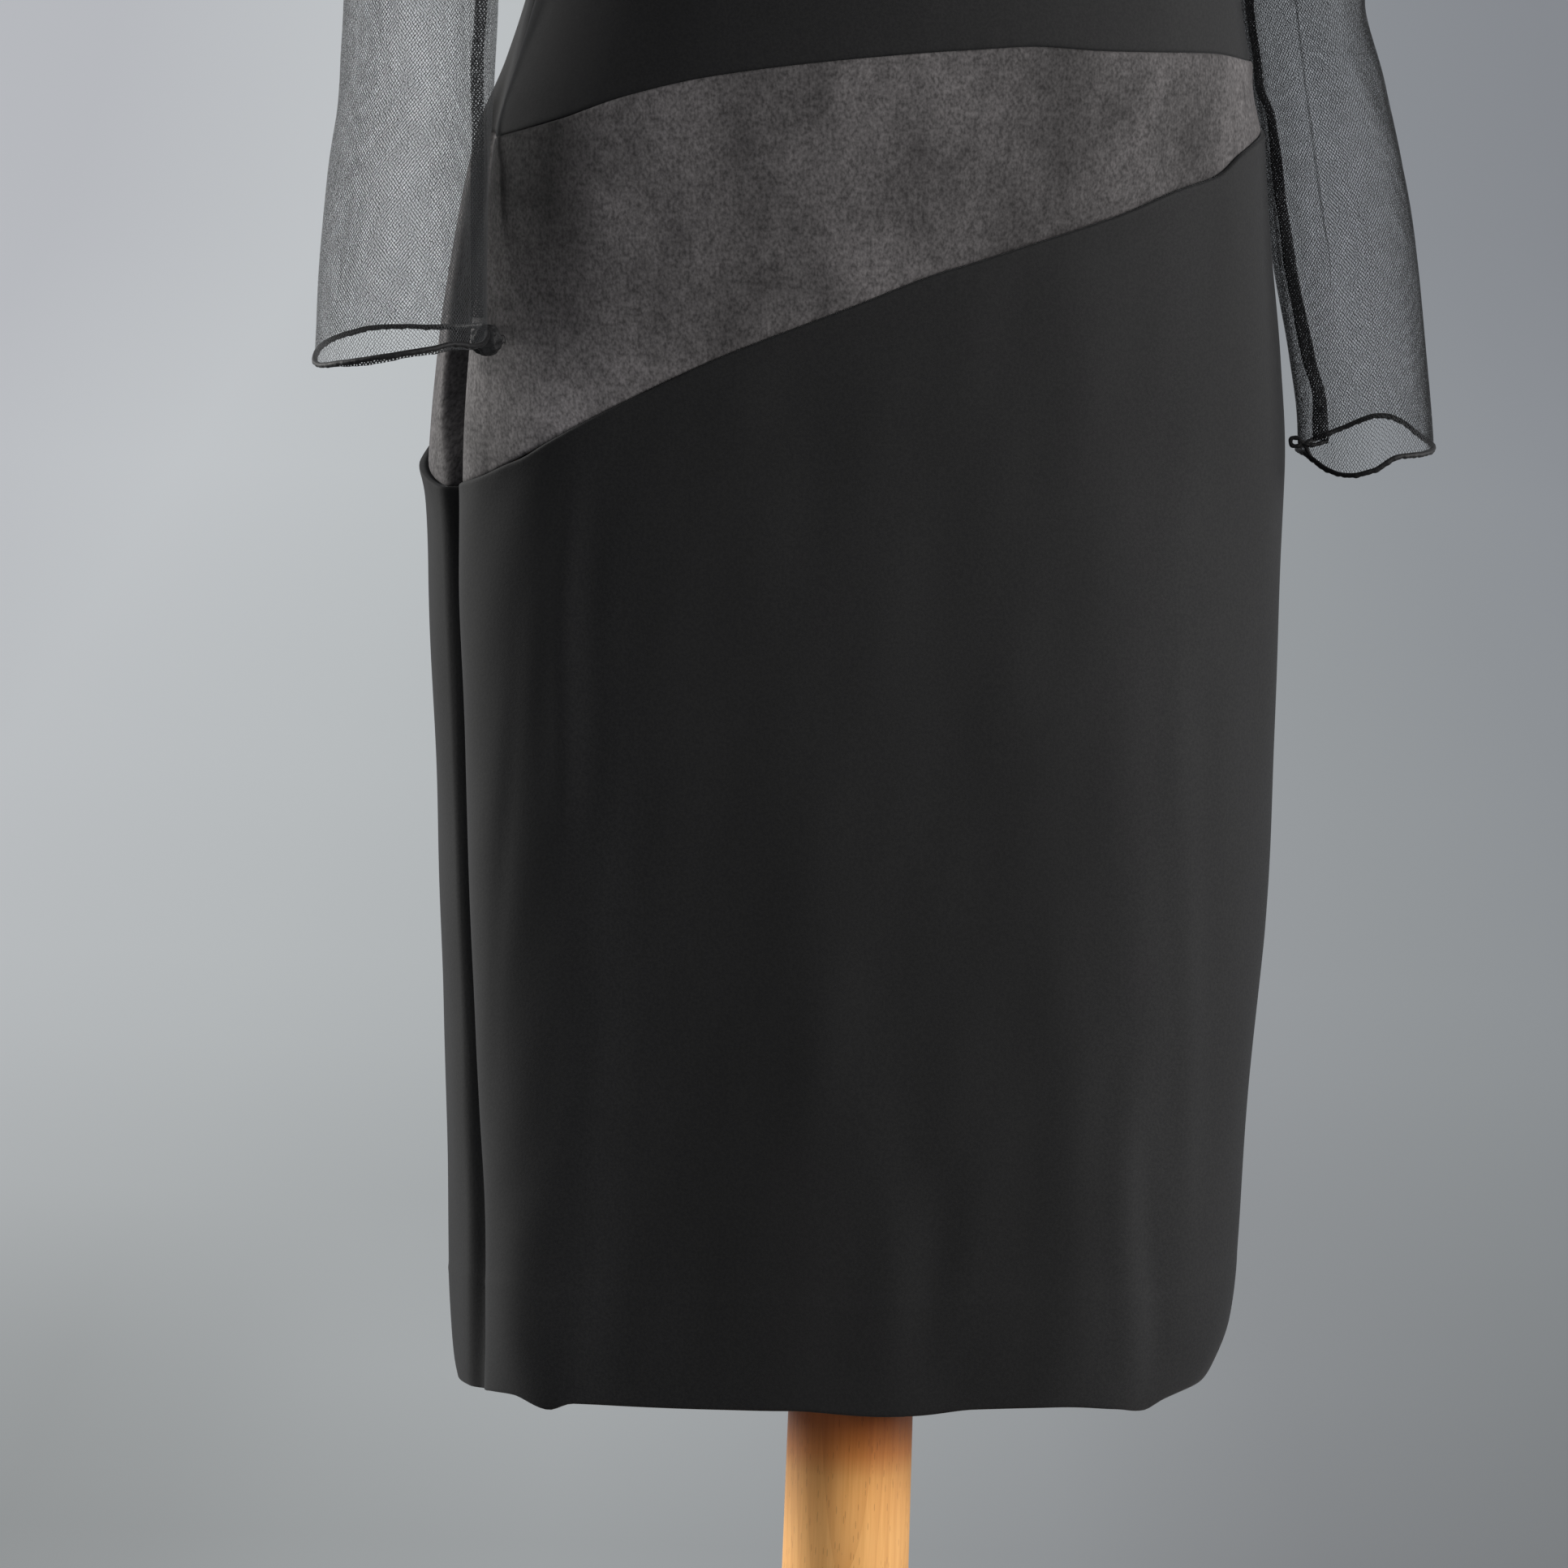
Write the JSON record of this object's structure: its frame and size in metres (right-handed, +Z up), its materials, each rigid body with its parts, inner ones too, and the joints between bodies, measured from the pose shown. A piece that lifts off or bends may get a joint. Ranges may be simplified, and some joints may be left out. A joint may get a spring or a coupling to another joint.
{
  "type": "sheath dress on a limbless dress form",
  "caption": "Knee-length sheath dress with a slanting inset band below the waist and sheer long sleeves, standing on a limbless dress form with a wooden pole and a round base.",
  "frame": {"origin": "on the floor, at the centre of the base's underside, on the axis of the pole", "axes": "+Z up, along the pole; the front of the dress faces -Y; the wearer's left side is at +X"},
  "size_m": [0.5241, 0.37, 1.5843],
  "materials": {
    "crepe": "matt near-black crepe",
    "band": "dark grey satin-backed cloth with a short soft nap",
    "sheer": "see-through black fine mesh",
    "cuff": "narrow rolled hem of the black mesh",
    "cover": "unbleached cotton jersey",
    "beech": "lacquered beech"
  },
  "bodies": {
    "root": {"bodice_front": "crepe", "bodice_back_left": "crepe", "bodice_back_right": "crepe", "band_front": "band", "band_back_left": "band", "band_back_right": "band", "skirt_front": "crepe", "skirt_back_left": "crepe", "skirt_back_right": "crepe", "sleeve_left": "sheer", "sleeve_right": "sheer", "cuff_roll_left": "cuff", "cuff_roll_right": "cuff", "form_torso": "cover", "form_neck_cap": "beech", "form_pole": "beech", "form_base": "beech"}
  },
  "joints": []
}
